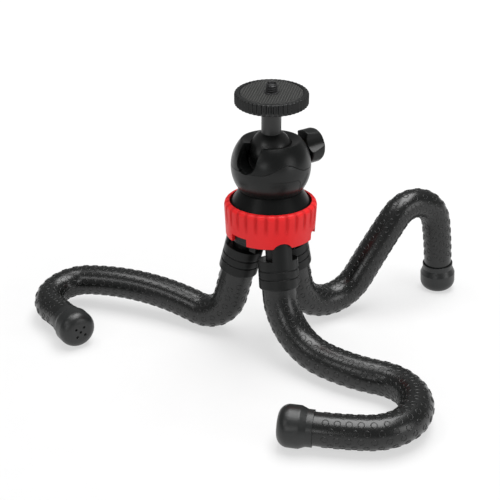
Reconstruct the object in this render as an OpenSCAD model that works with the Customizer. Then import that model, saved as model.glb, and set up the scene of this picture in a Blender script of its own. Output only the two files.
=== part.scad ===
// Table-top tripod with three flexible legs and a ball head.
// Millimetres, +Z up. The feet stand on z = 0 and the footprint is centred on the origin.
// -Y is the front: the side that the front leg leaves from.

/* [Camera plate] */
// Diameter of the round camera plate
plate_d = 39.7; // [34:0.1:52]
// Thickness of the camera plate
plate_h = 6.4; // [4.5:0.1:8]
// Number of finger flutes round the plate's edge
plate_flutes = 48; // [24:1:60]
// Depth of each flute
flute_depth = 0.7; // [0.2:0.1:0.8]
// Width of the plain rim round the rubber pad
plate_rim = 2.8; // [1.5:0.1:5]
// Thickness of the rubber pad
pad_h = 1.2; // [0.8:0.1:2]
// How far the pad stands above the rim
pad_proud = 0.3; // [0.1:0.1:0.6]
// Diameter of the camera screw, a quarter inch
screw_d = 6.35; // [5:0.05:9.55]
// Length of the camera screw above the pad
screw_reach = 5.5; // [4:0.1:8]

/* [Ball and stem] */
// Diameter of the ball
ball_d = 23; // [20:0.5:25]
// Diameter of the stem
stem_d = 10.8; // [8:0.1:12]
// Distance from the ball's centre to the underside of the plate
stem_reach = 26.4; // [24:0.2:40]
// Lean of the stem towards the front
stem_lean = 4.7; // [0:0.1:15]

/* [Head housing] */
// Diameter of the round housing
head_d = 44; // [42:0.5:54]
// Height of the housing's centre above its foot
head_rise = 13.7; // [12:0.1:16]
// Height of the open rim above the housing's centre
rim_rise = 14.6; // [12.5:0.1:16]
// Depth of the ball's centre below the open rim
ball_sink = 5.5; // [4.5:0.1:7]
// Wall of the housing
head_wall = 2.5; // [1.8:0.1:3.5]
// Side clearance of the stem in the drop notch
notch_clear = 1.2; // [0.8:0.1:2]
// Direction of the drop notch
notch_az = -132; // [-150:1:-100]
// Height of the seam between the two shells above the housing's centre
seam_rise = 1.3; // [0:0.1:2.5]
// Height of the crest in the seam
seam_crest = 5; // [2:0.5:7]
// Direction of the crest in the seam
crest_az = -68; // [-80:1:-45]

/* [Ball lock] */
// Direction of the lock knob
knob_az = 38; // [20:1:60]
// Depth of the knob's axis below the ball's centre
knob_sink = 4.1; // [3:0.1:5.5]
// Length of the lock knob
knob_h = 9.5; // [9:0.5:18]
// Radius of the knob's hollow flanks at the housing
knob_r_in = 5.4; // [5:0.1:6.5]
// Radius of the knob's lobes at the outer end
knob_r_out = 9.7; // [8:0.1:12]
// Diameter of the lock screw
lock_screw_d = 5; // [4:0.1:5.5]
// Diameter of the brake pad
brake_d = 7.2; // [6:0.1:8]
// Distance that the brake pad backs off in one turn of the knob
brake_travel = 0.8; // [0.5:0.1:0.9]

/* [Dish and hub] */
// Height of the dish between the hub and the housing
dish_h = 9.5; // [7:0.1:14]
// Height of the hub body
hub_h = 18; // [16:0.1:24]
// How far the hub shows below the collar
hub_lip = 1.5; // [0.5:0.1:3]
// Diameter of the stud that carries the head
stud_d = 6.35; // [5:0.05:8]

/* [Collar] */
// Outside diameter of the collar
collar_d = 51.5; // [50:0.5:60]
// Height of the collar
collar_h = 19.4; // [18:0.1:26]
// Wall of the collar
collar_wall = 2.9; // [2.6:0.1:3.5]
// Number of grip grooves round the collar
collar_grooves = 28; // [18:1:48]
// Depth of each grip groove
groove_depth = 0.5; // [0.2:0.1:0.6]
// Width of the snap notches
snap_w = 11; // [6:0.5:12]
// Height of the snap notches
snap_h = 4.4; // [3.5:0.1:8]

/* [Leg sockets] */
// Distance from the hub's axis to the middle of a socket's mouth
socket_reach = 18.5; // [17.5:0.1:24]
// Depth of the socket's mouth below the collar
socket_drop = 24; // [23:0.1:30]
// Splay of the sockets
socket_tilt = 14; // [8:0.5:18]
// Outside diameter of the socket sleeve
socket_d = 22.4; // [22:0.1:24]
// Length of the socket sleeve above the mouth
sleeve_h = 14.4; // [13:0.1:17]
// Length of the sleeve's skirt below the mouth
skirt_h = 2; // [0.5:0.1:4]
// Depth to which the leg is let into the socket
leg_inset = 12; // [8:0.1:12.5]
// Width of the half-round tongue that runs up into the collar
tongue_w = 11.2; // [8:0.1:12]

/* [Legs] */
// Length of a leg from the socket's mouth to the end of the foot
leg_length = 204; // [196:1:260]
// Diameter of the leg at the socket
leg_d_root = 19.5; // [16:0.1:19.6]
// Diameter of the leg at the foot
leg_d_tip = 16.6; // [12:0.1:18]
// Diameter of the core of soft wires
core_d = 8; // [5:0.1:8.5]
// Length of leg that flexes at each bend
flex_len = 32; // [20:1:32]

/* [Feet] */
// Diameter of the foot cap
foot_d = 21.6; // [20.5:0.1:26]
// Length of the foot cap
foot_h = 18; // [16:0.5:19]
// Radius of the rounded end
foot_round = 6; // [3:0.5:8]
// Length of the cuff that grips the leg
cuff_h = 3.2; // [2:0.1:5]
// Wall of the cuff
cuff_wall = 0.8; // [0.6:0.1:1.5]

/* [Clearances] */
// Gap between parts that are pushed together
fit_gap = 0.15; // [0.1:0.05:0.25]
// Gap between the ball and its nylon seat
ball_gap = 0.1; // [0.05:0.01:0.2]
// Gap between the ball and the housing's lip
lip_gap = 0.35; // [0.3:0.05:0.6]
// Running gap of the plate on the stem's spigot
turn_gap = 0.06; // [0.03:0.01:0.1]

/* [Hidden] */
$fn = 64;
eps = 0.01;
LEGS = ["right", "left", "front"];
first_leg_az = 45;

// Bend table of each leg as the photograph shows it, from the socket to the foot.
// A row is one arc: its length, how far it turns, and the roll of its plane about the leg.
// The last arc takes the length that is left, and the foot sits on a straight end.
// Lengths are for a leg of bend_base and grow with the leg.
bend_base = 204;
bend_scale = leg_length / bend_base;
BENDS = [
    [[16, 0, 0], [58, 135, 17], [42, -12, 32], [41, -130, -37], [0, -6, 60]],
    [[20, 0, 0], [30, 89, 15], [75, -25, 41], [44, -143, 39], [0, -6, 170]],
    [[4, 0, 0], [49, 75, -37], [33, 18, -68], [74, -162, -14], [0, -7, -13]]
];
// Middle of the two stretches of each leg that flex, measured from the socket's mouth
KNEE_AT = [45, 35, 30] * bend_scale;
MID_AT = [96, 88, 72] * bend_scale;
foot_run = foot_h + 2;
ring_pitch = 5.5;
cover_sides = 16;
core_sides = 8;

// Heights in the hub's own frame, whose z = 0 is the collar's lower edge
hub_top = hub_h - hub_lip;
neck_z = hub_top + dish_h;
head_z = neck_z + head_rise;
rim_z = head_z + rim_rise;
ball_z = rim_z - ball_sink;
knob_z = ball_z - knob_sink;
seam_z = head_z + seam_rise;

// Radii that follow from the sizes above
head_r = head_d / 2;
ball_r = ball_d / 2;
stem_r = stem_d / 2;
neck_r = sqrt(head_r * head_r - head_rise * head_rise);
rim_r = sqrt(head_r * head_r - rim_rise * rim_rise);
collar_r = collar_d / 2;
hub_r = collar_r - collar_wall - fit_gap - 0.15;
dish_r = hub_r;
socket_r = socket_d / 2;
tongue_r = tongue_w / 2;
tongue_top = 2.8;
tongue_in = hub_r + 0.25;
arch_z = tongue_top - tongue_r;
notch_r = stem_r + notch_clear;
notch_floor = 2;

// Ball seat, brake and lock
seat_r = ball_r + 1.1;
seat_floor = 3.3;
seat_top_drop = 3.3;
seat_z = ball_z - ball_r - seat_floor;
brake_r = brake_d / 2;
brake_end = seat_r + 2.2;
lock_r = lock_screw_d / 2;
nut_r = lock_r + 1.7;
nut_h = 4;
boss_r = nut_r + 2;
boss_end = sqrt(head_r ^ 2 - (knob_z - head_z) ^ 2);
nut_in = boss_end - nut_h - 1.4;
knob_in = head_r + 0.3;
hex_r = lock_r * 1.75;
hex_h = 3;
knob_turned = 59;
flank_tilt = 21;
seam_gap = 0.2;

// Small fixings
shell_screw_az = [-15, 100, 175];
shell_screw_at = seat_r + 2.2;
shell_screw_r = 1.1;
shell_head_r = 1.7;
shell_boss_r = 2.4;
shell_head_h = 1.6;
stud_r = stud_d / 2;
stud_flange_r = stud_r + 1.8;
stud_flange_h = 3;
stud_seat = hub_top - 6.5;
stud_bite = 7;
leg_screw_r = 1.5;
hub_boss_r = 4.9;
boss_h = 7;
web_w = 5;
leg_head_r = 2.6;
leg_head_h = 1.8;
screw_base_r = screw_d / 2 + 0.6;
spigot_r = screw_d / 2 + 1.1;
spigot_h = plate_h - pad_h - 1;

// Socket heights, measured up the leg's axis from the mouth
bore_r = leg_d_root / 2 + fit_gap;
pocket_r = core_d / 2 + 1.15;
neck_in_r = pocket_r + 1.45;
leg_seat = leg_inset + 0.2;
socket_top = (socket_drop + 6) / cos(socket_tilt);
ferrule_top = socket_top - 4;
core_in = leg_inset + 10;

function leg_az(i) = first_leg_az + 120 * i;
function leg_r(s) = (leg_d_root + (leg_d_tip - leg_d_root) * min(1, max(0, s / leg_length))) / 2;

// Turns a vector about a unit axis
function spin(v, k, a) = v * cos(a) + cross(k, v) * sin(a) + k * (k * v) * (1 - cos(a));

// Follows one arc from a frame of point, direction and side
function arc_from(f, l, turn, roll) =
    let (
        t = f[1],
        n = spin(f[2], t, roll),
        r = abs(turn) < eps ? 0 : l * 180 / (PI * turn),
        p = abs(turn) < eps ? f[0] + t * l : f[0] + t * r * sin(turn) + n * r * (1 - cos(turn))
    )
    [p, t * cos(turn) + n * sin(turn), n * cos(turn) - t * sin(turn)];

function run_before(rows, k) = k == 0 ? 0 : rows[k - 1][0] + run_before(rows, k - 1);

// The bend table with its last arc's length filled in, and the foot's straight end
function leg_rows(i) =
    let (rows = [for (row = BENDS[i]) [row[0] * bend_scale, row[1], row[2]]], last = len(rows) - 1)
    concat(
        [for (k = [0 : last - 1]) rows[k]],
        [[leg_length - foot_run - run_before(rows, last), rows[last][1], rows[last][2]]],
        [[foot_run, 0, 0]]
    );

// The socket's mouth: where it is, the way the leg leaves it, and its outer side
function leg_start(i) =
    let (
        a = leg_az(i),
        out = [cos(a), sin(a), 0]
    )
    [
        out * socket_reach - [0, 0, socket_drop],
        out * sin(socket_tilt) - [0, 0, cos(socket_tilt)],
        out * cos(socket_tilt) + [0, 0, sin(socket_tilt)]
    ];

// Frame at a distance along a leg, with its side carried along without twist
function walk(rows, f, s, k, rolled) =
    let (row = rows[k], last = k == len(rows) - 1)
    last || s <= row[0]
        ? let (
            g = arc_from(f, s, row[0] == 0 ? 0 : row[1] * s / row[0], row[2])
        ) [g[0], g[1], spin(g[2], g[1], -rolled - row[2])]
        : walk(rows, arc_from(f, row[0], row[1], row[2]), s - row[0], k + 1, rolled + row[2]);
function leg_at(i, s) = walk(leg_rows(i), leg_start(i), s, 0, 0);

// How far a leg reaches along an axis, to one side
function reach(i, axis, way) =
    max(concat(
        [for (s = [0 : 2 : leg_length - foot_h])
            let (f = leg_at(i, s)) way * f[0][axis] + leg_r(s) * sqrt(max(0, 1 - f[1][axis] * f[1][axis]))],
        [foot_reach(i, axis, way)]
    ));
function foot_reach(i, axis, way) =
    let (
        f = leg_at(i, leg_length),
        along = f[1][axis],
        across = sqrt(max(0, 1 - along * along)),
        band = foot_d / 2 - foot_round
    )
    max(
        way * (f[0][axis] - foot_round * along) + band * across + foot_round,
        way * (f[0][axis] - (foot_h - 6.7) * along) + foot_d / 2 * across
    );

// The hub stands where the feet reach the floor and the footprint is centred
hub_x = (max([for (i = [0 : 2]) reach(i, 0, -1)]) - max([for (i = [0 : 2]) reach(i, 0, 1)])) / 2;
hub_y = (max([for (i = [0 : 2]) reach(i, 1, -1)]) - max([for (i = [0 : 2]) reach(i, 1, 1)])) / 2;
hub_z = max([for (i = [0 : 2]) foot_reach(i, 2, -1)]);

HEAD_NODES = [
    "camera_plate", "plate_pad", "camera_screw", "ball_stem", "head_upper_shell", "head_lower_shell",
    "ball_seat", "brake_pad", "lock_screw", "lock_nut", "lock_knob", "shell_screws", "base_dish",
    "head_stud", "hub_body", "collar", "leg_screws", "core_ferrules"
];
LEG_PARTS = [
    "socket", "root_cover", "knee_cover", "span_cover", "mid_cover", "tip_cover",
    "upper_core", "lower_core", "foot"
];

module at_hub() translate([hub_x, hub_y, hub_z]) children();
module at_ball() at_hub() translate([0, 0, ball_z]) rotate([stem_lean, 0, 0]) children();
module at_knob() at_hub() translate([0, 0, knob_z]) rotate([0, 0, knob_az]) rotate([0, 90, 0]) children();
module at_socket(i)
    at_hub() rotate([0, 0, leg_az(i)]) translate([socket_reach, 0, -socket_drop])
        rotate([0, -socket_tilt, 0]) children();
module at_foot(i) {
    f = leg_at(i, leg_length);
    side = cross(f[1], f[2]);
    at_hub() multmatrix([for (k = [0 : 2]) [f[2][k], side[k], f[1][k], f[0][k]]]) children();
}

// Ring of points round a leg
function ring(i, s, r, sides) =
    let (f = leg_at(i, s), side = cross(f[1], f[2]))
    [for (j = [0 : sides - 1]) let (a = 360 * j / sides) f[0] + r * (f[2] * cos(a) + side * sin(a))];

// Distances of the rings between two ends
function stations(from, to) =
    let (n = ceil((to - from) / ring_pitch)) [for (k = [0 : n]) from + (to - from) * k / n];

// Triangles of a swept wall between rings, facing out or in
function wall(first, rings, sides, out) =
    [for (k = [0 : rings - 2]) for (j = [0 : sides - 1])
        let (
            a = first + k * sides + j,
            b = first + k * sides + (j + 1) % sides,
            c = b + sides,
            d = a + sides
        )
        each out ? [[a, d, c], [a, c, b]] : [[a, b, c], [a, c, d]]];

// Swept tube of leg cover between two distances
module cover_tube(i, from, to) {
    at = stations(from, to);
    n = len(at);
    sides = cover_sides;
    bore = core_d / 2 + 2 * fit_gap + 0.1;
    outer = [for (s = at) each ring(i, s, leg_r(s), sides)];
    inner = [for (s = at) each ring(i, s, bore, sides)];
    m = n * sides;
    ends = [for (j = [0 : sides - 1])
        let (k = (j + 1) % sides, e = (n - 1) * sides)
        each [
            [j, k, m + k], [j, m + k, m + j],
            [e + j, m + e + j, m + e + k], [e + j, m + e + k, e + k]
        ]];
    polyhedron(concat(outer, inner), concat(wall(0, n, sides, true), wall(m, n, sides, false), ends));
}

// Swept rod of core between two distances
module core_rod(i, from, to) {
    at = stations(from, to);
    n = len(at);
    sides = core_sides;
    points = [for (s = at) each ring(i, s, core_d / 2, sides)];
    start = [for (j = [0 : sides - 1]) j];
    end = [for (j = [0 : sides - 1]) n * sides - 1 - j];
    polyhedron(points, concat(wall(0, n, sides, true), [start, end]));
}

// Camera plate: a fluted disc with a recess for the pad and a bore for the stem's spigot
module camera_plate() color("#1b1c1d") at_ball() translate([0, 0, stem_reach]) difference() {
    rotate_extrude() polygon([
        [0, 0], [plate_d / 2 - 1, 0], [plate_d / 2, 0.6], [plate_d / 2, plate_h - 0.6],
        [plate_d / 2 - 0.8, plate_h], [0, plate_h]
    ]);
    for (k = [0 : plate_flutes - 1]) rotate(360 * k / plate_flutes)
        translate([plate_d / 2 + 1.1 - flute_depth, 0, -1]) cylinder(r = 1.1, h = plate_h + 0.2, $fn = 24);
    translate([0, 0, plate_h - pad_h + pad_proud]) cylinder(r = plate_d / 2 - plate_rim, h = pad_h);
    translate([0, 0, -1]) cylinder(r = spigot_r + turn_gap, h = spigot_h + 1 + turn_gap);
    cylinder(r = screw_base_r + 0.05, h = plate_h);
}

// Rubber pad let into the plate
module plate_pad() color("#2b2c2c") at_ball() translate([0, 0, stem_reach + plate_h - pad_h + pad_proud])
    difference() {
        cylinder(r = plate_d / 2 - plate_rim - fit_gap, h = pad_h);
        translate([0, 0, -1]) cylinder(r = screw_base_r + fit_gap, h = pad_h + 2);
    }

// Camera screw: its base is pressed into the plate, flush with the pad, and its tip is chamfered
module camera_screw() color("#0f1010") at_ball() translate([0, 0, stem_reach + spigot_h + turn_gap]) {
    base = plate_h - spigot_h - turn_gap + pad_proud;
    tip = base + screw_reach;
    rotate_extrude() polygon([
        [0, 0], [screw_base_r, 0], [screw_base_r, base], [screw_d / 2, base],
        [screw_d / 2, tip - 0.7], [screw_d / 2 - 0.7, tip], [0, tip]
    ]);
}

// Ball and stem, turned in one piece, with the spigot that the plate turns on
module ball_stem() color("#161717") at_ball() union() {
    sphere(r = ball_r, $fn = 96);
    cylinder(r = stem_r, h = stem_reach - 0.05);
    cylinder(r = spigot_r, h = stem_reach + spigot_h - 0.05);
}

// The stem's drop notch: a round-bottomed slot from the ball's height up through the rim
module drop_notch() translate([0, 0, ball_z]) rotate([0, 0, notch_az]) rotate([90, 0, 90])
    translate([0, 0, ball_r * 0.6]) linear_extrude(head_r) {
        translate([0, -notch_floor]) circle(r = notch_r);
        translate([-notch_r, -notch_floor]) square([2 * notch_r, rim_rise + ball_r]);
    }

// Everything below the seam of the two shells: level, with one smooth crest and the knob's boss
module below_seam(gap) {
    crest_w = head_r * 0.62;
    top = seam_z + gap;
    translate([-head_r - 1, -head_r - 1, neck_z - 1])
        cube([2 * head_r + 2, 2 * head_r + 2, top - neck_z + 1]);
    rotate([0, 0, crest_az]) rotate([90, 0, 90]) linear_extrude(head_r + 2) polygon(concat(
        [[-crest_w, top - 1], [-crest_w, top - eps]],
        [for (a = [-160 : 20 : 160]) [crest_w * a / 180, top + seam_crest * (1 + cos(a)) / 2]],
        [[crest_w, top - eps], [crest_w, top - 1]]
    ));
    knob_axis() translate([0, 0, seat_r + 0.5]) cylinder(r = boss_r + gap, h = head_r);
}

// The housing's outside: a ball cut flat at its foot and at its open rim
module head_outside() intersection() {
    translate([0, 0, head_z]) sphere(r = head_r, $fn = 96);
    translate([0, 0, neck_z]) cylinder(r = head_r + 1, h = rim_z - neck_z);
}

// Room inside the shells, below the thick lip that holds the ball down
module head_room() intersection() {
    translate([0, 0, head_z]) sphere(r = head_r - head_wall, $fn = 96);
    translate([0, 0, neck_z + head_wall]) cylinder(r = head_r, h = ball_z + 0.6 - neck_z - head_wall);
}

module shell_bosses(from, to) for (a = shell_screw_az) rotate(a)
    translate([shell_screw_at, 0, from]) cylinder(r = shell_boss_r, h = to - from);

module knob_axis() translate([0, 0, knob_z]) rotate([0, 0, knob_az]) rotate([0, 90, 0]) children();

// Upper shell: the rim, the lip that holds the ball and the drop notch
module head_upper_shell() color("#17191a") at_hub() {
    lip_z = ball_z + ball_r * 0.35;
    lip_r = sqrt((ball_r + lip_gap) ^ 2 - (lip_z - ball_z) ^ 2);
    difference() {
        head_outside();
        difference() {
            head_room();
            shell_bosses(seam_z, ball_z + 1);
        }
        below_seam(seam_gap);
        translate([0, 0, ball_z]) sphere(r = ball_r + lip_gap, $fn = 96);
        rotate_extrude() polygon([
            [0, lip_z], [lip_r, lip_z], [rim_r - 1, rim_z], [rim_r - 1, rim_z + 1], [0, rim_z + 1]
        ]);
        translate([0, 0, neck_z]) cylinder(r = seat_r + fit_gap, h = ball_z - neck_z);
        drop_notch();
        for (a = shell_screw_az) rotate(a)
            translate([shell_screw_at, 0, neck_z])
                cylinder(r = shell_screw_r + 0.05, h = seam_z + 6.5 - neck_z);
    }
}

// Lower shell: the foot, the pedestal of the ball seat and the boss of the lock screw
module head_lower_shell() color("#1d1f20") at_hub() difference() {
    intersection() {
        union() {
            difference() {
                head_outside();
                head_room();
            }
            intersection() {
                union() {
                    translate([0, 0, neck_z]) cylinder(r = seat_r, h = seat_z - neck_z);
                    shell_bosses(neck_z, seam_z);
                    knob_axis() translate([0, 0, seat_r - 1])
                        cylinder(r = boss_r - 0.3, h = head_r - seat_r + 1);
                }
                translate([0, 0, head_z]) sphere(r = head_r - head_wall / 2, $fn = 96);
            }
        }
        below_seam(0);
    }
    translate([0, 0, seat_z]) cylinder(r = seat_r + fit_gap, h = ball_z - seat_z);
    translate([0, 0, neck_z - 1]) cylinder(r = stud_r + fit_gap, h = stud_bite + 1.5);
    drop_notch();
    knob_axis() {
        cylinder(r = brake_r + 0.1, h = brake_end + brake_travel + 0.1);
        cylinder(r = lock_r + 0.1, h = head_r + 2);
        translate([0, 0, nut_in]) cylinder(r = nut_r, h = head_r);
    }
    for (a = shell_screw_az) rotate(a) translate([shell_screw_at, 0, neck_z - 1]) {
        cylinder(r = shell_screw_r + fit_gap, h = seam_z);
        cylinder(r = shell_head_r + fit_gap, h = shell_head_h + 1.9);
    }
}

// Nylon cup under the ball, cut away for the notch and the brake pad
module ball_seat() color("#d8d5cb") at_hub() difference() {
    translate([0, 0, seat_z]) cylinder(r = seat_r, h = ball_z - seat_top_drop - seat_z);
    translate([0, 0, ball_z]) sphere(r = ball_r + ball_gap, $fn = 96);
    drop_notch();
    knob_axis() cylinder(r = brake_r + 0.1, h = seat_r + 1);
}

// Brake pad that the lock screw pushes against the ball
module brake_pad() color("#8c8c86") at_hub() difference() {
    knob_axis() translate([0, 0, ball_r * 0.6]) cylinder(r = brake_r, h = brake_end - ball_r * 0.6);
    translate([0, 0, ball_z]) sphere(r = ball_r + ball_gap, $fn = 96);
}

// Lock screw with a hexagon head held in the knob
module lock_screw() color("#9a9c9e") at_knob() union() {
    translate([0, 0, brake_end]) cylinder(r = lock_r, h = knob_in + knob_h - hex_h - 1 - brake_end + eps);
    translate([0, 0, knob_in + knob_h - hex_h - 1]) cylinder(r = hex_r, h = hex_h, $fn = 6);
}

// Brass insert that the lock screw turns in
module lock_nut() color("#b79a55") at_knob() translate([0, 0, nut_in]) difference() {
    cylinder(r = nut_r - 0.05, h = nut_h);
    translate([0, 0, -1]) cylinder(r = lock_r + 0.1, h = nut_h + 2);
}

// Three-lobed knob whose hollow flanks run out at its round outer end
module lock_knob() color("#131414") at_knob() translate([0, 0, knob_in]) difference() {
    flank_r = 7;
    rotate_extrude() polygon([
        [0, 0], [knob_r_out - 0.6, 0], [knob_r_out, 0.6], [knob_r_out, knob_h - 1.8],
        [knob_r_out - 0.3, knob_h - 0.8], [knob_r_out - 1.6, knob_h], [0, knob_h]
    ]);
    for (k = [0 : 2]) rotate(knob_turned + 60 + 120 * k)
        translate([knob_r_in + flank_r / cos(flank_tilt), 0, 0]) rotate([0, flank_tilt, 0])
            cylinder(r = flank_r, h = knob_h * 4, center = true);
    translate([0, 0, -1]) cylinder(r = lock_r + 0.05, h = knob_h + 2);
    translate([0, 0, knob_h - hex_h - 1]) cylinder(r = hex_r + 0.05, h = knob_h, $fn = 6);
}

// Screws that hold the two shells together, put in from below
module shell_screws() color("#8f9193") at_hub() for (a = shell_screw_az) rotate(a)
    translate([shell_screw_at, 0, neck_z + 0.7]) {
        cylinder(r = shell_head_r, h = shell_head_h);
        cylinder(r = shell_screw_r, h = seam_z + 5.5 - neck_z - 0.7);
    }

// Dish between the hub and the housing: a rounded rim and a straight cone up to the neck
module base_dish() color("#141515") at_hub() difference() {
    bead_r = 0.9;
    slope = 58;
    rotate_extrude() union() {
        polygon([
            [0, hub_top], [dish_r - bead_r, hub_top],
            [dish_r - bead_r + bead_r * sin(slope), hub_top + bead_r + bead_r * cos(slope)],
            [neck_r + 0.2, hub_top + dish_h], [0, hub_top + dish_h]
        ]);
        translate([dish_r - bead_r, hub_top + bead_r]) circle(r = bead_r);
    }
    translate([0, 0, hub_top - 1]) cylinder(r = stud_r + fit_gap, h = dish_h + 2);
}

// Stud that carries the head, with a flange held between hub and dish
module head_stud() color("#a4a6a8") at_hub() union() {
    translate([0, 0, stud_seat]) cylinder(r = stud_flange_r, h = stud_flange_h);
    translate([0, 0, stud_seat]) cylinder(r = stud_r, h = neck_z + stud_bite - stud_seat);
}

// Room in the hub for the neck and the screw of one leg
module socket_room(i) rotate([0, 0, leg_az(i)]) translate([socket_reach, 0, -socket_drop])
    rotate([0, -socket_tilt, 0]) {
        cylinder(r = neck_in_r + fit_gap, h = socket_top + 0.1);
        cylinder(r = leg_screw_r + fit_gap, h = socket_top + hub_h);
        translate([0, 0, leg_screw_seat()]) cylinder(r = leg_head_r + fit_gap, h = hub_h);
    }
function leg_screw_seat() = (socket_drop + hub_top - 3.6) / cos(socket_tilt);

// Hub body with the three sockets' rooms, a middle boss and the snap tabs that hold the collar
module hub_body() color("#232526") at_hub() difference() {
    union() {
        translate([0, 0, -hub_lip]) cylinder(r = hub_r, h = hub_h);
        translate([0, 0, -hub_lip - boss_h]) cylinder(r = hub_boss_r, h = boss_h + 1);
        for (i = [0 : 2]) rotate(leg_az(i) + 60) translate([0, -web_w / 2, -hub_lip - boss_h])
            cube([hub_r - 8, web_w, boss_h + 1]);
        for (i = [0 : 2]) rotate(leg_az(i) + 60) intersection() {
            translate([hub_r - 2, -snap_w / 2 + 0.6, 0.6]) cube([6, snap_w - 1.2, snap_h - 0.6 - fit_gap]);
            cylinder(r = hub_r + 0.7, h = snap_h);
        }
    }
    for (i = [0 : 2]) socket_room(i);
    translate([0, 0, stud_seat]) cylinder(r = stud_flange_r + fit_gap, h = hub_h);
}

// Collar: a grip band whose soft grooves run out towards its lower edge, notched for the snap tabs
// and arched for the sockets' tongues
module collar() color("#d8202a") at_hub() difference() {
    top_round = 2.4;
    groove_r = 1.2;
    groove_z = collar_h * 0.45;
    rotate_extrude() difference() {
        polygon(concat(
            [[0, 0], [collar_r - 0.75, 0], [collar_r, collar_h * 0.8]],
            [for (a = [0 : 22.5 : 90])
                [collar_r - top_round + top_round * cos(a), collar_h - top_round + top_round * sin(a)]],
            [[0, collar_h]]
        ));
        translate([0, -1]) square([collar_r - collar_wall, collar_h + 2]);
    }
    for (k = [0 : collar_grooves - 1]) rotate(360 * (k + 0.5) / collar_grooves)
        translate([collar_r + groove_r - groove_depth, 0, groove_z])
            cylinder(r = groove_r, h = collar_h, $fn = 24);
    for (i = [0 : 2]) {
        rotate(leg_az(i) + 60) translate([hub_r - 2, -snap_w / 2, -1]) cube([7, snap_w, snap_h + 1]);
        rotate(leg_az(i)) translate([hub_r - 2, 0, arch_z]) rotate([0, 90, 0])
            cylinder(r = tongue_r + 0.3, h = 7);
    }
}

// Screws that hold the sockets in the hub, one up each leg's axis
module leg_screws() color("#8f9193") for (i = [0 : 2]) at_socket(i) {
    translate([0, 0, leg_screw_seat()]) cylinder(r = leg_head_r, h = leg_head_h);
    translate([0, 0, ferrule_top - 3.5])
        cylinder(r = leg_screw_r, h = leg_screw_seat() - ferrule_top + 3.5 + eps);
}

// Crimped ferrules that end the legs' cores
module core_ferrules() color("#b9bbbd") for (i = [0 : 2]) at_socket(i) difference() {
    translate([0, 0, leg_seat + 0.3]) cylinder(r = pocket_r - fit_gap, h = ferrule_top - leg_seat - 0.3);
    cylinder(r = core_d / 2 + fit_gap, h = core_in + 0.1);
    cylinder(r = leg_screw_r + 0.05, h = ferrule_top + 1);
}

// Outline of a socket's tongue, seen from outside: straight sides and a round top
module tongue_outline() rotate([0, socket_tilt, 0]) translate([-socket_reach, 0, socket_drop]) {
    translate([tongue_in, 0, arch_z]) rotate([0, 90, 0]) cylinder(r = tongue_r, h = socket_d);
    translate([tongue_in, -tongue_r, -socket_drop]) cube([socket_d, tongue_w, socket_drop + arch_z]);
}

// Leg socket: a ringed sleeve, the neck that enters the hub, and the tongue that fills the collar's arch
module socket(i) color("#202223") at_socket(i) difference() {
    body_h = sleeve_h + socket_d;
    union() {
        difference() {
            rotate_extrude() difference() {
                union() {
                    translate([0, 1 - skirt_h]) square([socket_r, body_h]);
                    translate([0, -skirt_h]) square([socket_r - 1, 2]);
                    translate([socket_r - 1, 1 - skirt_h]) circle(r = 1);
                }
                for (h = [0.3, 0.62]) translate([socket_r - 0.4, sleeve_h * h - 0.5]) square([2, 1]);
            }
            difference() {
                translate([0, 0, sleeve_h]) cylinder(r = socket_d, h = body_h);
                tongue_outline();
            }
        }
        cylinder(r = neck_in_r, h = socket_top);
    }
    translate([0, 0, -skirt_h - 1]) cylinder(r = bore_r, h = leg_seat + skirt_h + 1);
    cylinder(r = pocket_r, h = ferrule_top);
    cylinder(r = leg_screw_r + fit_gap, h = socket_top + 1);
}

// The five stretches of a leg's rubber cover: the second and the fourth flex
module root_cover(i) color("#1a1c1c") at_hub() cover_tube(i, -leg_inset, KNEE_AT[i] - flex_len / 2);
module knee_cover(i) color("#1a1c1c") at_hub()
    cover_tube(i, KNEE_AT[i] - flex_len / 2, KNEE_AT[i] + flex_len / 2);
module span_cover(i) color("#1a1c1c") at_hub()
    cover_tube(i, KNEE_AT[i] + flex_len / 2, MID_AT[i] - flex_len / 2);
module mid_cover(i) color("#1a1c1c") at_hub()
    cover_tube(i, MID_AT[i] - flex_len / 2, MID_AT[i] + flex_len / 2);
module tip_cover(i) color("#1a1c1c") at_hub()
    cover_tube(i, MID_AT[i] + flex_len / 2, leg_length - foot_round - 1.2);

// The leg's core of soft wires, in two stretches
module upper_core(i) color("#c4c6c8") at_hub() core_rod(i, -core_in, MID_AT[i] - flex_len / 2);
module lower_core(i) color("#c4c6c8") at_hub()
    core_rod(i, MID_AT[i] - flex_len / 2, leg_length - foot_round - 1.5);

// Foot cap: a rounded end, a band, a cone and the cuff that grips the leg
module foot(i) color("#1e2021") at_foot(i) difference() {
    leg_end_r = leg_r(leg_length - foot_h);
    cuff_r = leg_end_r + fit_gap + cuff_wall;
    rotate_extrude() union() {
        polygon([
            [0, -foot_h], [cuff_r, -foot_h], [cuff_r, cuff_h - foot_h], [foot_d / 2, cuff_h + 3.5 - foot_h],
            [foot_d / 2, -foot_round], [0, -foot_round]
        ]);
        translate([0, -foot_round - eps]) square([foot_d / 2 - foot_round, foot_round + eps]);
        intersection() {
            translate([foot_d / 2 - foot_round, -foot_round]) circle(r = foot_round);
            translate([0, -foot_round - eps]) square([foot_d, foot_round * 2]);
        }
    }
    translate([0, 0, -foot_h - 1]) cylinder(r = leg_end_r + fit_gap, h = foot_h - foot_round - 1 + 1);
    translate([0, 0, -1]) cylinder(r = 0.8, h = 2, $fn = 24);
    for (k = [0 : 3]) rotate(45 + 90 * k) translate([foot_d / 2 - foot_round - 1.3, 0, -1])
        cylinder(r = 0.8, h = 2, $fn = 24);
}

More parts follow.
